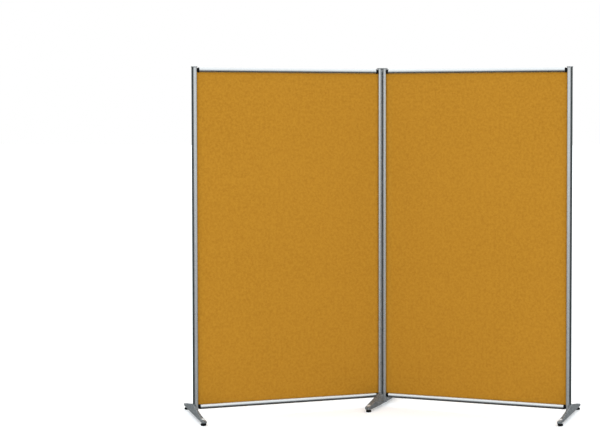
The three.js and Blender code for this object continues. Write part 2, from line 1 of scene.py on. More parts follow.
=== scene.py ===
# A folding screen: two framed cloth panels, hinged together, on three cast feet.
# Lengths are in metres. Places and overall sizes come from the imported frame, and finer details
# are given here. Each panel has its own local frame: x runs out from the hinge axis, y across
# the panel and z up.

import json
import math

import bmesh
import bpy
import numpy as np
from mathutils import Matrix, Vector

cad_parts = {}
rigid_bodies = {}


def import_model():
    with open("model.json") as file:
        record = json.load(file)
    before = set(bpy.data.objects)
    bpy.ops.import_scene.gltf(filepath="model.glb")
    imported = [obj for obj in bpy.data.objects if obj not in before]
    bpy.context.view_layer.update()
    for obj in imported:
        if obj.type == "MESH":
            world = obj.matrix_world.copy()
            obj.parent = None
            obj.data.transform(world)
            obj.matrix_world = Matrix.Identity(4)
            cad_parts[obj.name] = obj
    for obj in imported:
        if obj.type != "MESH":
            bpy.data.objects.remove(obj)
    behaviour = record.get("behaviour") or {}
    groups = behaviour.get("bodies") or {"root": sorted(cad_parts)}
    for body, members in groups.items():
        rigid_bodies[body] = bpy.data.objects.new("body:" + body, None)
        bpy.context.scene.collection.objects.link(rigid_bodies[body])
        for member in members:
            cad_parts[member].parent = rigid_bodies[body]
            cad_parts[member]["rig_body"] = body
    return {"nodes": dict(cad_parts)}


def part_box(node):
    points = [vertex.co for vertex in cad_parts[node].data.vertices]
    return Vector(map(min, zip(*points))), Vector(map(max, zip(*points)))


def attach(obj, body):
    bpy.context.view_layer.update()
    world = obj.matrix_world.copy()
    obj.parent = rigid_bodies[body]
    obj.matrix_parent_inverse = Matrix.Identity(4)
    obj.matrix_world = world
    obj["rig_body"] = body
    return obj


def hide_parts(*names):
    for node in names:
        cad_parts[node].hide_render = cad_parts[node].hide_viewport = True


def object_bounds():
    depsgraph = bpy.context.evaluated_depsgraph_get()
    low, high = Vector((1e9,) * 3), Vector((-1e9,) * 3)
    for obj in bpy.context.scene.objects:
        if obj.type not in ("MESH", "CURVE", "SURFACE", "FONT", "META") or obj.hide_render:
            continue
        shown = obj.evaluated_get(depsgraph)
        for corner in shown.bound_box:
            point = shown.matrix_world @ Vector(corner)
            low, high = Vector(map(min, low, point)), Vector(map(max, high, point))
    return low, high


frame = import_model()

cad_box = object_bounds()

MM = 0.001
SIDES = ("right", "left")
FEET = ("right", "left", "centre")
NODES = frame["nodes"]
GAP = 0.3 * MM  # left between pieces that would otherwise touch

# ---------- places taken from the frame ----------


def centre_of(node):
    low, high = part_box(node)
    return (low + high) / 2


HINGE = Vector((*centre_of("bottom_hinge_pin").xy, 0))


def panel_matrix(side):
    """The panel's local frame, with its origin on the floor below the hinge axis."""
    reach = centre_of(f"{side}_foot_bolt") - HINGE
    turn = math.atan2(reach.y, reach.x)
    return Matrix.Translation(HINGE) @ Matrix.Rotation(turn, 4, "Z")


PANEL = {side: panel_matrix(side) for side in SIDES}


def local_box(node, side):
    """(lowest corner, highest corner) of a CAD node in its panel's local frame."""
    inverse = PANEL[side].inverted()
    points = np.array([inverse @ v.co for v in NODES[node].data.vertices])
    return Vector(points.min(0)), Vector(points.max(0))


def body_of_node(node):
    return NODES[node]["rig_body"]


# ---------- outlines ----------

CORNER_STEPS = 10
SOFT_STEPS = 4
SOFT_SHARE = 0.45  # the most of a side that a softened corner takes


def arc(x, y, radius, start, end, steps):
    """Points on an arc about (x, y), with its angles in degrees."""
    angles = np.radians(np.linspace(start, end, steps + 1))
    return [(x + radius * math.cos(a), y + radius * math.sin(a)) for a in angles]


def rounded_outline(x0, x1, half, near_radius, far_radius):
    """A rectangle with one corner radius at x0 and another at x1, counterclockwise."""
    a, b = near_radius, far_radius
    return [
        *arc(x1 - b, b - half, b, -90, 0, CORNER_STEPS),
        *arc(x1 - b, half - b, b, 0, 90, CORNER_STEPS),
        *arc(x0 + a, half - a, a, 90, 180, CORNER_STEPS),
        *arc(x0 + a, a - half, a, 180, 270, CORNER_STEPS),
    ]


def softened(points, radius):
    """An open line with each inner corner replaced by a short curve."""
    soft = [points[0]]
    for before, corner, after in zip(points, points[1:], points[2:]):
        p, c, n = Vector(before), Vector(corner), Vector(after)
        start = c + (p - c).normalized() * min(radius, (p - c).length * SOFT_SHARE)
        end = c + (n - c).normalized() * min(radius, (n - c).length * SOFT_SHARE)
        for i in range(SOFT_STEPS + 1):
            t = i / SOFT_STEPS
            soft.append(tuple(start * (1 - t) ** 2 + c * 2 * t * (1 - t) + end * t * t))
    return [*soft, points[-1]]


# ---------- meshes ----------

MERGE_DISTANCE = 1e-6
ON_AXIS = 1e-7  # a smaller radius than this is a point on the axis
SHARP_DEGREES = 35
BEVEL_DEGREES = 40
TURNED_SEGMENTS = 56


def new_piece(name, mesh, matrix=None):
    piece = bpy.data.objects.new(name, mesh)
    bpy.context.scene.collection.objects.link(piece)
    if matrix is not None:
        piece.matrix_world = matrix
    return piece


def finish_mesh(made, name):
    """Turns a bmesh into a mesh with its faces out, smooth except at its sharp edges."""
    bmesh.ops.remove_doubles(made, verts=made.verts, dist=MERGE_DISTANCE)
    bmesh.ops.recalc_face_normals(made, faces=made.faces)
    if made.calc_volume(signed=True) < 0:
        bmesh.ops.reverse_faces(made, faces=made.faces)
    mesh = bpy.data.meshes.new(name)
    made.to_mesh(mesh)
    made.free()
    mesh.shade_smooth()
    mesh.set_sharp_from_angle(angle=math.radians(SHARP_DEGREES))
    return mesh


def extruded_mesh(name, outline, length):
    """An outline in x and y, extruded along z from 0."""
    made = bmesh.new()
    low, high = [[made.verts.new((x, y, z)) for x, y in outline] for z in (0, length)]
    count = len(outline)
    for i in range(count):
        j = (i + 1) % count
        made.faces.new((low[i], low[j], high[j], high[i]))
    made.faces.new(low[::-1])
    made.faces.new(high)
    return finish_mesh(made, name)


def turned_mesh(name, profile):
    """A profile of (radius, height) points turned about z, from axis to axis."""
    made = bmesh.new()
    rings = []
    turns = [2 * math.pi * i / TURNED_SEGMENTS for i in range(TURNED_SEGMENTS)]
    for radius, z in profile:
        if radius < ON_AXIS:
            rings.append([made.verts.new((0, 0, z))])
            continue
        rings.append([made.verts.new((radius * math.cos(a), radius * math.sin(a), z)) for a in turns])
    for low, high in zip(rings, rings[1:]):
        for i in range(TURNED_SEGMENTS):
            j = (i + 1) % TURNED_SEGMENTS
            corners = [low[i % len(low)], low[j % len(low)], high[j % len(high)], high[i % len(high)]]
            unique = list(dict.fromkeys(corners))
            if len(unique) > 2:
                made.faces.new(unique)
    return finish_mesh(made, name)


def with_bevel(piece, width, segments=2):
    bevel = piece.modifiers.new("edges", "BEVEL")
    bevel.width = width
    bevel.segments = segments
    bevel.limit_method = "ANGLE"
    bevel.angle_limit = math.radians(BEVEL_DEGREES)
    bevel.harden_normals = True


def evaluated_mesh(piece):
    """A mesh of the piece as its modifiers leave it."""
    bpy.context.view_layer.update()
    graph = bpy.context.evaluated_depsgraph_get()
    return bpy.data.meshes.new_from_object(piece.evaluated_get(graph))


def cut_with(piece, outline, low, high):
    """Cuts an extruded outline, from low to high in the piece's own z, out of a piece."""
    tool = new_piece("tool", extruded_mesh("tool", outline, high - low))
    tool.matrix_world = piece.matrix_world @ Matrix.Translation((0, 0, low))
    cut = piece.modifiers.new("cut", "BOOLEAN")
    cut.object = tool
    cut.solver = "EXACT"
    mesh = evaluated_mesh(piece)
    piece.modifiers.clear()
    piece.data = mesh
    bpy.data.objects.remove(tool)


# ---------- node helpers ----------


def add_node(tree, kind, inputs=None, **settings):
    """A new shader node with its settings, and each input linked or given its value."""
    made = tree.nodes.new(kind)
    for key, value in settings.items():
        setattr(made, key, value)
    for key, value in (inputs or {}).items():
        if isinstance(value, bpy.types.NodeSocket):
            tree.links.new(value, made.inputs[key])
        else:
            made.inputs[key].default_value = value
    return made


class Finish:
    """A procedural material under construction, with short calls for the nodes it needs."""

    def __init__(self, name, **sockets):
        self.material = bpy.data.materials.new(name)
        self.material.use_nodes = True
        self.tree = self.material.node_tree
        self.shader = self.tree.nodes["Principled BSDF"]
        for socket, value in sockets.items():
            self.shader.inputs[socket.replace("_", " ")].default_value = value
        self.place = self.tree.nodes.new("ShaderNodeTexCoord").outputs["Object"]

    def node(self, kind, inputs=None, **settings):
        return add_node(self.tree, kind, inputs, **settings)

    def stretched(self, scale):
        """The object's own coordinates, scaled along each axis."""
        return self.node("ShaderNodeMapping", {"Vector": self.place, "Scale": scale}).outputs[0]

    def noise(self, scale, detail=3, vector=None, roughness=0.55, distortion=0):
        inputs = {
            "Vector": vector or self.place,
            "Scale": scale,
            "Detail": detail,
            "Roughness": roughness,
            "Distortion": distortion,
        }
        return self.node("ShaderNodeTexNoise", inputs).outputs["Fac"]

    def cells(self, scale, output="Distance"):
        inputs = {"Vector": self.place, "Scale": scale}
        return self.node("ShaderNodeTexVoronoi", inputs).outputs[output]

    def ranged(self, value, from_low, from_high, to_low, to_high):
        inputs = {"Value": value, "From Min": from_low, "From Max": from_high,
                  "To Min": to_low, "To Max": to_high}
        return self.node("ShaderNodeMapRange", inputs).outputs["Result"]

    def maths(self, operation, a, b):
        return self.node("ShaderNodeMath", {0: a, 1: b}, operation=operation).outputs[0]

    def mixed(self, factor, a, b, blend="MIX"):
        made = self.node("ShaderNodeMix", {0: factor, 6: a, 7: b}, data_type="RGBA", blend_type=blend)
        return made.outputs[2]

    def blended(self, factor, a, b):
        return self.node("ShaderNodeMix", {0: factor, 2: a, 3: b}, data_type="FLOAT").outputs[0]

    def use(self, socket, value):
        self.tree.links.new(value, self.shader.inputs[socket])

    def bump(self, height, distance, strength):
        inputs = {"Height": height, "Distance": distance, "Strength": strength}
        self.use("Normal", self.node("ShaderNodeBump", inputs).outputs["Normal"])


def colour(red, green, blue):
    return (red, green, blue, 1)


# ---------- materials ----------

BOSS_HIGHLIGHT_MASK = "boss_highlight"  # mesh attribute for a painted highlight: 1 on a foot's bosses, 0 elsewhere


def felt():
    """Ochre needle felt: matted fibres, soft mottling and a faint bloom."""
    made = Finish("felt", Roughness=0.94, Sheen_Weight=0.16, Sheen_Roughness=0.45)
    made.shader.inputs["Sheen Tint"].default_value = colour(1.0, 0.80, 0.48)
    made.shader.inputs["Specular IOR Level"].default_value = 0.15
    drift = made.noise(2.1, 2)
    mottle = made.noise(26, 4, roughness=0.6)
    tufts = made.noise(75, 2)
    clumps = made.noise(150, 4, distortion=1.4)
    lay = made.noise(1, 5, vector=made.stretched((900, 900, 330)), distortion=1.8)
    cross = made.noise(1, 5, vector=made.stretched((330, 900, 900)), distortion=1.8)
    fibre = made.maths("ADD", lay, cross)
    base = made.mixed(made.ranged(drift, 0.3, 0.7, 0, 1),
                      colour(0.341, 0.155, 0.0098), colour(0.365, 0.168, 0.0118))
    base = made.mixed(made.ranged(mottle, 0.3, 0.7, 0.0, 0.55), base, colour(0.284, 0.123, 0.0072))
    base = made.mixed(made.ranged(tufts, 0.38, 0.62, 0.0, 0.60), base, colour(0.432, 0.210, 0.0178))
    base = made.mixed(made.ranged(clumps, 0.35, 0.75, 0.0, 0.40), base, colour(0.462, 0.228, 0.0204))
    base = made.mixed(made.ranged(fibre, 0.8, 1.25, 0.0, 0.40), base, colour(0.245, 0.103, 0.0060))
    made.use("Base Color", base)
    matted = made.maths("ADD", fibre, made.maths("MULTIPLY", clumps, 1.3))
    made.bump(matted, 0.0005, 0.6)
    return made.material


def anodised(name, tone):
    """Satin anodised aluminium with fine die lines along the extrusion, which is object z."""
    made = Finish(name, Metallic=1.0, Anisotropic=0.35)
    lines = made.noise(1, 3, vector=made.stretched((1600, 1600, 2.2)))
    bands = made.noise(1, 2, vector=made.stretched((260, 260, 0.9)))
    haze = made.noise(14, 4)
    shade = tuple(level * 0.93 for level in tone)
    base = made.mixed(made.ranged(bands, 0.35, 0.65, 0, 1), colour(*shade), colour(*tone))
    base = made.mixed(made.ranged(haze, 0.45, 0.8, 0, 0.12), base, colour(0.50, 0.53, 0.55))
    made.use("Base Color", base)
    rough = made.maths("ADD", made.ranged(lines, 0.3, 0.7, 0.20, 0.30), made.ranged(haze, 0.3, 0.7, 0, 0.07))
    made.use("Roughness", rough)
    made.bump(lines, 0.00004, 0.5)
    return made.material


def casting():
    """Grey sand-cast aluminium: speckled, rubbed along its edges, with a painted highlight on the bosses,
    which are coloured light grey and made smoother.
    """
    made = Finish("casting")
    boss_highlight = made.node("ShaderNodeAttribute", attribute_name=BOSS_HIGHLIGHT_MASK).outputs["Fac"]
    speck = made.cells(900)
    grit = made.noise(620, 5, roughness=0.65)
    flakes = made.noise(130, 3, roughness=0.7)
    pits = made.noise(155, 3, vector=made.stretched((1, 1, 1.3)), roughness=0.7)
    mottle = made.noise(55, 3)
    worn = made.node("ShaderNodeNewGeometry").outputs["Pointiness"]
    rub = made.maths("MULTIPLY", made.ranged(worn, 0.52, 0.60, 0, 1), made.ranged(grit, 0.35, 0.65, 0.3, 1))
    base = made.mixed(made.ranged(mottle, 0.3, 0.7, 0, 1),
                      colour(0.128, 0.145, 0.155), colour(0.182, 0.204, 0.217))
    base = made.mixed(made.ranged(flakes, 0.48, 0.58, 0, 0.9), base, colour(0.350, 0.385, 0.402))
    base = made.mixed(made.ranged(pits, 0.50, 0.60, 0, 0.9), base, colour(0.050, 0.054, 0.058))
    base = made.mixed(made.ranged(grit, 0.42, 0.66, 0, 0.40), base, colour(0.100, 0.104, 0.108))
    base = made.mixed(rub, base, colour(0.52, 0.54, 0.56))
    # painted highlight: the bosses' colour is lifted to a light grey
    base = made.mixed(boss_highlight, base, colour(0.70, 0.76, 0.80))
    made.use("Base Color", base)
    bare = made.maths("MAXIMUM", made.ranged(rub, 0, 1, 0.35, 0.95), made.maths("MULTIPLY", boss_highlight, 0.35))
    made.use("Metallic", bare)
    rough = made.ranged(grit, 0.3, 0.7, 0.42, 0.60)
    bright = made.ranged(grit, 0.3, 0.7, 0.26, 0.36)
    made.use("Roughness", made.blended(boss_highlight, rough, bright))
    grain = made.maths("ADD", speck, grit)
    made.bump(made.maths("MULTIPLY", grain, made.ranged(boss_highlight, 0, 1, 1, 0.15)), 0.00026, 0.6)
    return made.material


def moulded(name, tone, low, high, grain):
    """Spark-textured moulded plastic."""
    made = Finish(name)
    made.shader.inputs["Specular IOR Level"].default_value = 0.12
    pits = made.noise(grain, 4, roughness=0.7)
    cloud = made.noise(60, 2)
    lighter = tuple(t * 1.5 + 0.002 for t in tone)
    made.use("Base Color", made.mixed(made.ranged(cloud, 0.3, 0.7, 0, 1), colour(*tone), colour(*lighter)))
    made.use("Roughness", made.ranged(pits, 0.3, 0.7, low, high))
    made.bump(pits, 0.00006, 0.5)
    return made.material


def die_cast():
    """Satin die-cast zinc alloy with a faintly clouded face."""
    made = Finish("die_cast", Metallic=0.75)
    fine = made.noise(900, 4)
    cloud = made.noise(70, 3)
    made.use("Base Color", made.mixed(made.ranged(cloud, 0.3, 0.7, 0, 1),
                                      colour(0.340, 0.360, 0.370), colour(0.400, 0.420, 0.430)))
    made.use("Roughness", made.ranged(fine, 0.3, 0.7, 0.30, 0.42))
    made.bump(fine, 0.00004, 0.5)
    return made.material


def ribbed_shade_strip():
    """Extruded PVC coloured near black as painted shade for the dark band along the stile's outer side, with
    faint draw lines along object z.
    """
    made = Finish("strip_painted_shade")
    made.shader.inputs["Specular IOR Level"].default_value = 0.35
    lines = made.noise(1, 3, vector=made.stretched((1300, 1300, 2.5)))
    cloud = made.noise(20, 3)
    # painted shade: a near-black colour standing in for the dark band on the stile's outer side
    made.use("Base Color", made.mixed(made.ranged(cloud, 0.3, 0.7, 0, 1),
                                      colour(0.026, 0.036, 0.035), colour(0.040, 0.053, 0.052)))
    made.use("Roughness", made.ranged(lines, 0.3, 0.7, 0.34, 0.50))
    made.bump(lines, 0.00005, 0.5)
    return made.material


def rubber():
    """Black rubber, dusty near the floor."""
    made = Finish("rubber")
    made.shader.inputs["Specular IOR Level"].default_value = 0.1
    grain = made.noise(900, 4)
    cloud = made.noise(180, 3)
    height = made.node("ShaderNodeSeparateXYZ", {0: made.place}).outputs["Z"]
    dust = made.maths("MULTIPLY", made.ranged(height, 0.0, 0.0045, 0.12, 0.0),
                      made.ranged(cloud, 0.35, 0.7, 0, 1))
    made.use("Base Color", made.mixed(dust, colour(0.0045, 0.0045, 0.005), colour(0.060, 0.058, 0.055)))
    made.use("Roughness", made.ranged(grain, 0.3, 0.7, 0.55, 0.80))
    made.bump(grain, 0.00008, 0.6)
    return made.material


def zinc():
    """Bright zinc plate with a faint spangle."""
    made = Finish("zinc_plate", Metallic=1.0)
    spangle = made.cells(420, output="Color")
    fine = made.noise(800, 3)
    base = made.mixed(0.12, colour(0.56, 0.57, 0.57), spangle, "MULTIPLY")
    made.use("Base Color", base)
    made.use("Roughness", made.ranged(fine, 0.3, 0.7, 0.24, 0.42))
    made.bump(fine, 0.00003, 0.4)
    return made.material


ALUMINIUM = anodised("anodised_aluminium", (0.70, 0.73, 0.74))
FELT = felt()
CASTING = casting()
BLACK_PLASTIC = moulded("black_plastic", (0.0035, 0.0035, 0.004), 0.44, 0.58, 1500)
CAP_METAL = die_cast()
SEAL = moulded("seal_strip", (0.020, 0.020, 0.021), 0.55, 0.70, 900)
SHADE_STRIP = ribbed_shade_strip()
RUBBER = rubber()
ZINC = zinc()


def dress(piece, finish):
    piece.data.materials.clear()
    piece.data.materials.append(finish)
    return piece


def stand_for(piece, node, finish):
    """The piece takes a CAD node's place, body and finish."""
    dress(piece, finish)
    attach(piece, body_of_node(node))
    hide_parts(node)


# ---------- frame ----------

STILE_NOSE = 12 * MM
STILE_LIP = 4 * MM
NOSE_SLOT = (6 * MM, 5 * MM)  # width and depth
CLOTH_GROOVE = (5 * MM, 9 * MM)
HUB_NOTCH = 8 * MM  # how far the right inner stile is cut back round the hinge hub
NOTCH_BELOW_PIN_TOP = 3 * MM  # the notch ends this far below the lower pin's top
ARC_STEPS = 12
RAIL_STEPS = 72
FRAME_EDGE = 0.3 * MM

# The connector's dome as (radius, height) in mm, from its face to its full radius.
CONNECTOR_DOME = [(7, 0), (9.9, 2.1), (12, 5.1), (13.2, 9.3)]
DOME_SOFTENING = 1.6 * MM
CONNECTOR_EDGE = 0.25 * MM
CUT_REACH = 20 * MM  # past the connector's outside

CAP_INNER_RADIUS, CAP_OUTER_RADIUS = 5 * MM, 13 * MM
CAP_EDGE = 1.5 * MM

BEAD_RADIUS = 2.6 * MM
BEAD_FOOT = 0.6 * MM  # where the bead's side turns in towards the stile
BEAD_CHAMFER = 0.4 * MM
STRIP_EDGE = 0.2 * MM


def stile_outline(width, depth):
    """A stile's section: nose and slot at x = 0, lip and cloth groove at x = width."""
    half = depth / 2
    slot, slot_depth = NOSE_SLOT[0] / 2, NOSE_SLOT[1]
    groove, floor = CLOTH_GROOVE[0] / 2, width - CLOTH_GROOVE[1]
    lip = [
        (floor, groove), (floor, -groove), (width, -groove),
        *arc(width - STILE_LIP, STILE_LIP - half, STILE_LIP, 0, -90, ARC_STEPS),
    ]
    slot_edge = 180 + math.degrees(math.asin((slot + STILE_NOSE - half) / STILE_NOSE))
    nose = arc(STILE_NOSE, STILE_NOSE - half, STILE_NOSE, 270, slot_edge, ARC_STEPS)
    lower = [*lip, *nose, (slot_depth, -slot)]
    upper = [(x, -y) for x, y in reversed(lower[2:])]
    return [*lower, *upper]


def stile(side, end):
    """A stile on its panel; an outer stile's nose points away from the hinge."""
    name = f"{side}_{end}_stile"
    low, high = local_box(name, side)
    facing = Matrix.Identity(4)
    at = low.x
    if end == "outer":
        facing = Matrix.Rotation(math.pi, 4, "Z")
        at = high.x
    place = PANEL[side] @ Matrix.Translation((at, 0, low.z)) @ facing
    width, depth = high.x - low.x, high.y - low.y
    mesh = extruded_mesh(name, stile_outline(width, depth), high.z - low.z)
    piece = new_piece(f"{name}_profile", mesh, place)
    if end == "inner" and side == "right":
        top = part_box("bottom_hinge_pin")[1].z - low.z - NOTCH_BELOW_PIN_TOP
        notch = [(-MM, -depth), (HUB_NOTCH, -depth), (HUB_NOTCH, depth), (-MM, depth)]
        cut_with(piece, notch, -MM, top)
    with_bevel(piece, FRAME_EDGE)
    stand_for(piece, name, ALUMINIUM)


def rail_outline(radius):
    """A round section with its cloth groove facing +y."""
    groove, depth = CLOTH_GROOVE[0] / 2, CLOTH_GROOVE[1]
    edge = math.degrees(math.asin(groove / radius))
    floor = radius - depth
    return [*arc(0, 0, radius, 90 + edge, 450 - edge, RAIL_STEPS), (groove, floor), (-groove, floor)]


def level_frame(side, level, x, z):
    """A frame at (x, 0, z) of a panel: its z along the panel's x, its y towards the cloth."""
    inward = 1 if level == "bottom" else -1
    axes = Matrix(((0, 0, 1, 0), (inward, 0, 0, 0), (0, inward, 0, 0), (0, 0, 0, 1)))
    return PANEL[side] @ Matrix.Translation((x, 0, z)) @ axes


def rail(side, level):
    name = f"{side}_{level}_rail"
    low, high = local_box(name, side)
    radius = (high.z - low.z) / 2
    place = level_frame(side, level, low.x, (low.z + high.z) / 2)
    mesh = extruded_mesh(name, rail_outline(radius), high.x - low.x)
    piece = new_piece(f"{name}_profile", mesh, place)
    with_bevel(piece, FRAME_EDGE)
    stand_for(piece, name, ALUMINIUM)


def connector(side, level, end):
    """The domed black fitting between a stile and a rail, grooved for the cloth."""
    name = f"{side}_{level}_{end}_connector"
    rail_low, rail_high = local_box(f"{side}_{level}_rail", side)
    low, high = local_box(name, side)
    z = (rail_low.z + rail_high.z) / 2
    if end == "inner":
        start, length, flip = low.x, rail_low.x - low.x, Matrix.Identity(4)
    else:
        start, length = high.x, high.x - rail_high.x
        flip = Matrix.Rotation(math.pi, 4, "Y")
    back = length - GAP
    dome = [(radius * MM, height * MM) for radius, height in CONNECTOR_DOME]
    profile = [(0, 0), *dome, (dome[-1][0], back), (0, back)]
    place = level_frame(side, level, start, z) @ flip
    piece = new_piece(f"{name}_fitting", turned_mesh(name, softened(profile, DOME_SOFTENING)), place)
    groove = CLOTH_GROOVE[0] / 2
    floor = (rail_high.z - rail_low.z) / 2 - CLOTH_GROOVE[1]
    slot = [(-groove, floor), (groove, floor), (groove, CUT_REACH), (-groove, CUT_REACH)]
    cut_with(piece, slot, -MM, back + MM)
    with_bevel(piece, CONNECTOR_EDGE)
    stand_for(piece, name, BLACK_PLASTIC)


def outer_cap(side):
    name = f"{side}_outer_cap"
    low, high = local_box(name, side)
    stile_high = local_box(f"{side}_outer_stile", side)[1]
    bottom = stile_high.z + GAP
    width, half = high.x - low.x, (high.y - low.y) / 2
    outline = rounded_outline(0, width, half, CAP_INNER_RADIUS, CAP_OUTER_RADIUS)
    place = PANEL[side] @ Matrix.Translation((low.x, 0, bottom))
    piece = new_piece(f"{name}_moulding", extruded_mesh(name, outline, high.z - bottom), place)
    with_bevel(piece, CAP_EDGE, 4)
    stand_for(piece, name, CAP_METAL)


def cover_strip(side):
    """The strip that closes the outer stile's slot, coloured near black as painted shade for the dark band
    along the stile's outer side: a low bead with a tongue behind it.
    """
    name = f"{side}_cover_strip"
    low, high = local_box(name, side)
    face = local_box(f"{side}_outer_stile", side)[1].x
    proud, half = high.x - face, (high.y - low.y) / 2
    tongue, depth = NOSE_SLOT[0] / 2 - GAP, face - low.x
    bead = arc(proud - BEAD_RADIUS, half - BEAD_RADIUS, BEAD_RADIUS, 0, 90, 8)
    upper = [*bead, (BEAD_FOOT, half), (GAP, half - BEAD_CHAMFER), (GAP, tongue), (-depth, tongue)]
    outline = [*upper, *[(x, -y) for x, y in reversed(upper)]]
    place = PANEL[side] @ Matrix.Translation((face, 0, low.z))
    piece = new_piece(f"{name}_profile", extruded_mesh(name, outline, high.z - low.z), place)
    with_bevel(piece, STRIP_EDGE)
    stand_for(piece, name, SHADE_STRIP)


# ---------- cloth ----------

CLOTH_STEP = 8 * MM
FELT_THICKNESS = 1.9 * MM
CLOTH_SHARP_DEGREES = 50
SIDE_PUCKER_PITCH, END_PUCKER_PITCH = 0.088, 0.079
PUCKER_FADE = 0.035
HELD_BAND = 0.012  # beside the frame, over which the relief grows from nothing


def cloth_relief(x, z, width, height, side):
    """Offset of the cloth across the panel: slow waviness, with small puckers beside the frame."""
    shift = 0.7 if side == "right" else 2.9
    slow = np.sin(3.1 * x + 1.9 * z + shift) * np.sin(2.3 * z - 1.2 * x + 2 * shift)
    ripple = np.sin(11 * x + 5 * z + shift) * np.sin(9 * z - 4 * x + shift)
    from_side = np.minimum(x, width - x)
    from_end = np.minimum(z, height - z)
    side_pucker = np.sin(2 * math.pi * z / SIDE_PUCKER_PITCH + 5 * shift) * np.exp(-from_side / PUCKER_FADE)
    end_pucker = np.sin(2 * math.pi * x / END_PUCKER_PITCH + 3 * shift) * np.exp(-from_end / PUCKER_FADE)
    held = np.clip(np.minimum(from_side, from_end) / HELD_BAND, 0, 1)
    return (0.35 * slow + 0.12 * ripple + 0.16 * side_pucker + 0.16 * end_pucker) * held * MM


def cloth(side):
    """One closed sheet of felt, stretched over the panel with its edges in the grooves."""
    name = f"{side}_cloth"
    low, high = local_box(name, side)
    width, height = high.x - low.x, high.z - low.z
    columns, rows = round(width / CLOTH_STEP), round(height / CLOTH_STEP)
    x, z = np.meshgrid(np.linspace(0, width, columns + 1), np.linspace(0, height, rows + 1))
    middle = cloth_relief(x, z, width, height, side)
    layers = []
    for sign in (-1, 1):
        y = middle + sign * FELT_THICKNESS / 2
        layers.append(np.stack([x + low.x, y, z + low.z], axis=-1).reshape(-1, 3))
    count = (columns + 1) * (rows + 1)
    grid = np.arange(count).reshape(rows + 1, columns + 1)
    quads = np.stack([grid[:-1, :-1], grid[:-1, 1:], grid[1:, 1:], grid[1:, :-1]], axis=-1).reshape(-1, 4)
    rim = np.concatenate([grid[0, :], grid[1:, -1], grid[-1, -2::-1], grid[-2:0:-1, 0]])
    ahead = np.roll(rim, -1)
    edge = np.stack([rim, rim + count, ahead + count, ahead], axis=-1)
    faces = np.concatenate([quads, quads[:, ::-1] + count, edge])
    mesh = bpy.data.meshes.new(name)
    mesh.from_pydata(np.concatenate(layers).tolist(), [], faces.tolist())
    mesh.shade_smooth()
    mesh.set_sharp_from_angle(angle=math.radians(CLOTH_SHARP_DEGREES))
    piece = new_piece(f"{name}_felt", mesh, PANEL[side])
    stand_for(piece, name, FELT)


# ---------- feet ----------

FOOT_VOXEL = 1.2 * MM
BOSS_RADIUS = 8.5 * MM
BOSS_HIGHLIGHT_MARGIN, BOSS_HIGHLIGHT_FADE = 3 * MM, 2 * MM  # how far past the bosses their painted highlight reaches, and fades
PAD_SOFTENING = 1.1 * MM

PAD_PROFILE = [
    (0, 0), (0.77, 0), (0.92, 0.13), (1, 0.40), (1, 0.61), (0.89, 0.88), (0.72, 1), (0.3, 1), (0.3, 0.27),
    (0, 0.27),
]  # as shares of the pad's radius and height


def levelling_pad(foot, end):
    name = f"{foot}_{end}_pad"
    low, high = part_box(name)
    radius, height = (high.x - low.x) / 2, high.z - low.z
    profile = [(r * radius, z * height) for r, z in PAD_PROFILE]
    place = Matrix.Translation((*((low + high) / 2).xy, low.z))
    piece = new_piece(f"{name}_moulding", turned_mesh(name, softened(profile, PAD_SOFTENING)), place)
    stand_for(piece, name, RUBBER)


def evaluated_copy(node, build):
    """A mesh of a CAD node's solid after the modifiers that build() adds to a copy of it."""
    draft = new_piece("draft", NODES[node].data.copy(), NODES[node].matrix_world)
    build(draft)
    mesh = evaluated_mesh(draft)
    bpy.data.objects.remove(draft)
    return mesh


def round_corners(piece):
    remesh = piece.modifiers.new("skin", "REMESH")
    remesh.mode = "VOXEL"
    remesh.voxel_size = FOOT_VOXEL
    remesh.use_smooth_shade = True
    fillet = piece.modifiers.new("fillets", "SMOOTH")
    fillet.factor = 0.5
    fillet.iterations = 4


def cast_foot(foot):
    """The foot's solid with its corners rounded as a casting's are, and its bosses marked for a painted
    highlight.
    """
    node = f"{foot}_foot"
    mesh = evaluated_copy(node, round_corners)
    mesh.name = node
    place = NODES[node].matrix_world
    points = np.array([place @ v.co for v in mesh.vertices])
    distance = np.full(len(points), np.inf)
    for end in ("front", "back"):
        axis = centre_of(f"{foot}_{end}_pad")
        distance = np.minimum(distance, np.hypot(points[:, 0] - axis.x, points[:, 1] - axis.y))
    # painted highlight mask: 1 round each pad's axis and above the sole, fading outwards
    mask = mesh.attributes.new(BOSS_HIGHLIGHT_MASK, "FLOAT", "POINT")
    on_boss_highlight = np.clip((BOSS_RADIUS + BOSS_HIGHLIGHT_MARGIN - distance) / BOSS_HIGHLIGHT_FADE, 0, 1)
    above_sole = np.clip((points[:, 2] - points[:, 2].min()) / MM - 1, 0, 1)
    mask.data.foreach_set("value", on_boss_highlight * above_sole)
    piece = new_piece(f"{node}_casting", mesh, place)
    stand_for(piece, node, CASTING)


# ---------- assembly ----------

for side in SIDES:
    for end in ("inner", "outer"):
        stile(side, end)
    for level in ("bottom", "top"):
        for end in ("inner", "outer"):
            connector(side, level, end)
        rail(side, level)
    outer_cap(side)
    cover_strip(side)
    cloth(side)
    for edge in ("inner", "outer", "bottom", "top"):
        dress(NODES[f"{side}_{edge}_edge_strip"], SEAL)

for foot in FEET:
    cast_foot(foot)
    with_bevel(dress(NODES[f"{foot}_foot_bolt"], ZINC), 0.2 * MM)
    for end in ("front", "back"):
        levelling_pad(foot, end)
        with_bevel(dress(NODES[f"{foot}_{end}_stud"], ZINC), 0.3 * MM)

for plate in ("right_top", "left_top", "left_bottom"):
    with_bevel(dress(NODES[f"{plate}_hinge_plate"], CAP_METAL), 0.4 * MM, 3)
    with_bevel(dress(NODES[f"{plate}_hinge_screw"], ZINC), 0.1 * MM)
with_bevel(dress(NODES["hinge_seal"], SEAL), 0.2 * MM)
for pin in ("top", "bottom"):
    with_bevel(dress(NODES[f"{pin}_hinge_pin"], ZINC), 0.15 * MM)

# ---------- stage, light and camera ----------

FLOOR_REACH = 60
FLOOR_GLOW = 0.20


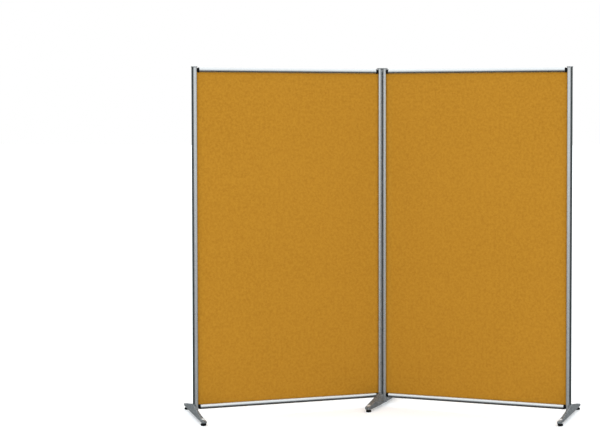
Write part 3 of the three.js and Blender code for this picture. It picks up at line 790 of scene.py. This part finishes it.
def floor():
    mesh = bpy.data.meshes.new("floor")
    reach = FLOOR_REACH
    corners = [(-reach, -reach, 0), (reach, -reach, 0), (reach, reach, 0), (-reach, reach, 0)]
    mesh.from_pydata(corners, [], [(0, 1, 2, 3)])
    plane = new_piece("floor", mesh)
    pale = Finish("floor", Roughness=0.95)
    pale.shader.inputs["Specular IOR Level"].default_value = 0.0
    pale.shader.inputs["Emission Color"].default_value = colour(0.90, 0.97, 1)
    pale.shader.inputs["Emission Strength"].default_value = FLOOR_GLOW
    pale.use("Base Color", pale.mixed(pale.noise(0.7, 2),
                                      colour(0.905, 0.925, 0.945), colour(0.92, 0.94, 0.96)))
    dress(plane, pale.material)
    plane.visible_glossy = False


AMBIENT = 1.37  # the world's level for matt surfaces
SIDE_LEVEL = 0.20  # what metal sees at the two sides of the screen, as a share of the front
SIDE_BAND = (0.55, 0.80)  # the share of y in a direction, from the sides to the front
CEILING_BAND = (0.1, 0.8)  # the share of z in a direction, from the walls to overhead

# What metal sees from straight down (0) to straight up (1), as brightness.
SKY = {0.0: 0.15, 0.20: 0.34, 0.408: 0.31, 0.435: 0.47, 0.4685: 0.83, 0.50: 0.97, 0.60: 1.2, 1.0: 1.45}


def studio_world():
    """Plain white to the camera; to the metal, a bright front and ceiling over a dim floor."""
    world = bpy.data.worlds.new("studio")
    bpy.context.scene.world = world
    world.use_nodes = True
    tree = world.node_tree
    tree.nodes.clear()

    def node(kind, inputs=None, **settings):
        return add_node(tree, kind, inputs, **settings)

    ray = node("ShaderNodeTexCoord").outputs["Generated"]
    axes = node("ShaderNodeSeparateXYZ", {0: ray})
    ramp = node("ShaderNodeValToRGB")
    height = node("ShaderNodeMapRange", {"Value": axes.outputs["Z"], "From Min": -1, "From Max": 1})
    tree.links.new(height.outputs[0], ramp.inputs[0])
    while len(ramp.color_ramp.elements) < len(SKY):
        ramp.color_ramp.elements.new(0.5)
    for element, (at, level) in zip(ramp.color_ramp.elements, SKY.items()):
        element.position = at
        element.color = (level * 0.985, level, level * 1.01, 1)
    depth = node("ShaderNodeMath", {0: axes.outputs["Y"]}, operation="ABSOLUTE")
    sides = node("ShaderNodeMapRange", {
        "Value": depth.outputs[0], "From Min": SIDE_BAND[0], "From Max": SIDE_BAND[1],
        "To Min": SIDE_LEVEL, "To Max": 1.0})
    overhead = node("ShaderNodeMapRange", {
        "Value": axes.outputs["Z"], "From Min": CEILING_BAND[0], "From Max": CEILING_BAND[1],
        "To Min": 0.0, "To Max": 1.0})
    spread = node("ShaderNodeMix", {0: overhead.outputs[0], 2: sides.outputs[0], 3: 1.0}, data_type="FLOAT")
    glossy = node("ShaderNodeMix", {0: 1.0, 6: ramp.outputs[0], 7: spread.outputs[0]},
                  data_type="RGBA", blend_type="MULTIPLY")
    path = node("ShaderNodeLightPath")
    plain = node("ShaderNodeMix", {0: path.outputs["Is Diffuse Ray"], 6: (1.0, 1.0, 1.0, 1),
                                   7: (AMBIENT, AMBIENT, AMBIENT, 1)}, data_type="RGBA")
    level = node("ShaderNodeMix", {0: path.outputs["Is Glossy Ray"], 6: plain.outputs[2],
                                   7: glossy.outputs[2]}, data_type="RGBA")
    back = node("ShaderNodeBackground", {"Color": level.outputs[2], "Strength": 1.0})
    tree.links.new(back.outputs[0], node("ShaderNodeOutputWorld").inputs[0])


# name: place, size and watts
SOFTBOXES = {
    "key": ((-2.6, -5.5, 4.6), (3.2, 2.4), 34),
    "fill": ((3.4, -5.0, 3.0), (3.0, 2.4), 26),
    "overhead": ((0, 0, 5.5), (4.0, 3.0), 16),
    "back": ((1.5, 5.5, 3.6), (3.6, 2.6), 30),
}


def softbox(name, at, aim, size, power):
    data = bpy.data.lights.new(name, "AREA")
    data.shape = "RECTANGLE"
    data.size, data.size_y = size
    data.energy = power
    light = bpy.data.objects.new(name, data)
    bpy.context.scene.collection.objects.link(light)
    light.location = at
    light.rotation_euler = (Vector(aim) - Vector(at)).to_track_quat("-Z", "Y").to_euler()
    light.visible_glossy = False


# Fitted to the photograph's edges and corners. Angles are in degrees, the lens and sensor in mm.
SENSOR = 36
LENS = 86.978
LENS_SHIFT = (-0.1375, -0.10)
CAMERA_AT = (0.0324, -7.5599, 1.5701)
CAMERA_DOWN, CAMERA_TURN = 1.939, 0.230


def camera():
    data = bpy.data.cameras.new("camera")
    data.sensor_width = SENSOR
    data.lens = LENS
    data.shift_x, data.shift_y = LENS_SHIFT
    data.clip_end = 200
    made = bpy.data.objects.new("camera", data)
    bpy.context.scene.collection.objects.link(made)
    made.location = CAMERA_AT
    made.rotation_euler = (math.radians(90 - CAMERA_DOWN), 0, math.radians(CAMERA_TURN))
    bpy.context.scene.camera = made


floor()
studio_world()
low, high = cad_box
middle = (low + high) / 2
for name, (at, size, power) in SOFTBOXES.items():
    softbox(name, at, middle, size, power)
camera()
bpy.context.scene.view_settings.view_transform = "Standard"
